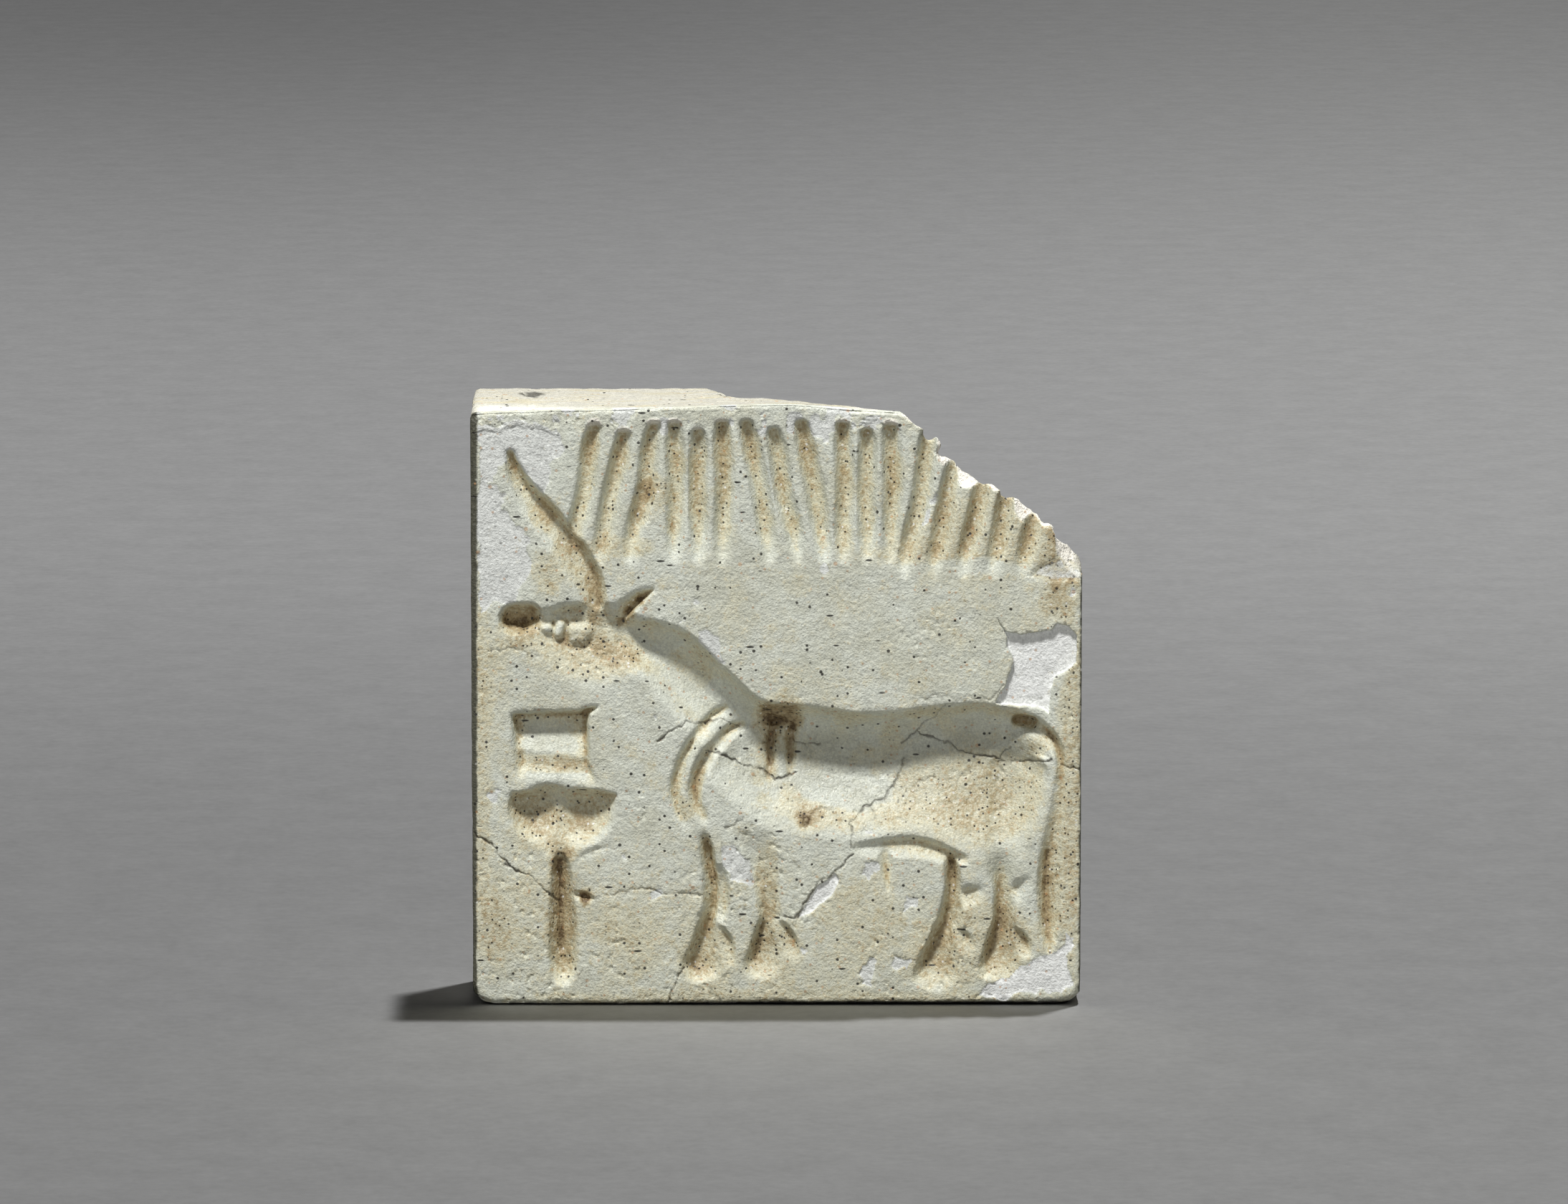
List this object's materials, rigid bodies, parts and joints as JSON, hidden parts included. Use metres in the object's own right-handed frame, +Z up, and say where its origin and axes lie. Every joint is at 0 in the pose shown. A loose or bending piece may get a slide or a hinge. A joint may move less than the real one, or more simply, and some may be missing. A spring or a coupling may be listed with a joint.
{
  "type": "stamp seal",
  "caption": "Square carved soapstone stamp seal standing on edge, with an intaglio bull and stand, plain strokes, a broken corner and a pierced boss.",
  "frame": {"origin": "middle of the slab's underside, the edge that the seal stands on", "axes": "+Z up, -Y out of the carved sealing face, +X to the right as the carved face is seen"},
  "size_m": [0.036, 0.0144, 0.0359],
  "materials": {
    "soapstone": "matt, worn glaze"
  },
  "bodies": {
    "root": {"stamp_seal": "soapstone"}
  },
  "joints": []
}
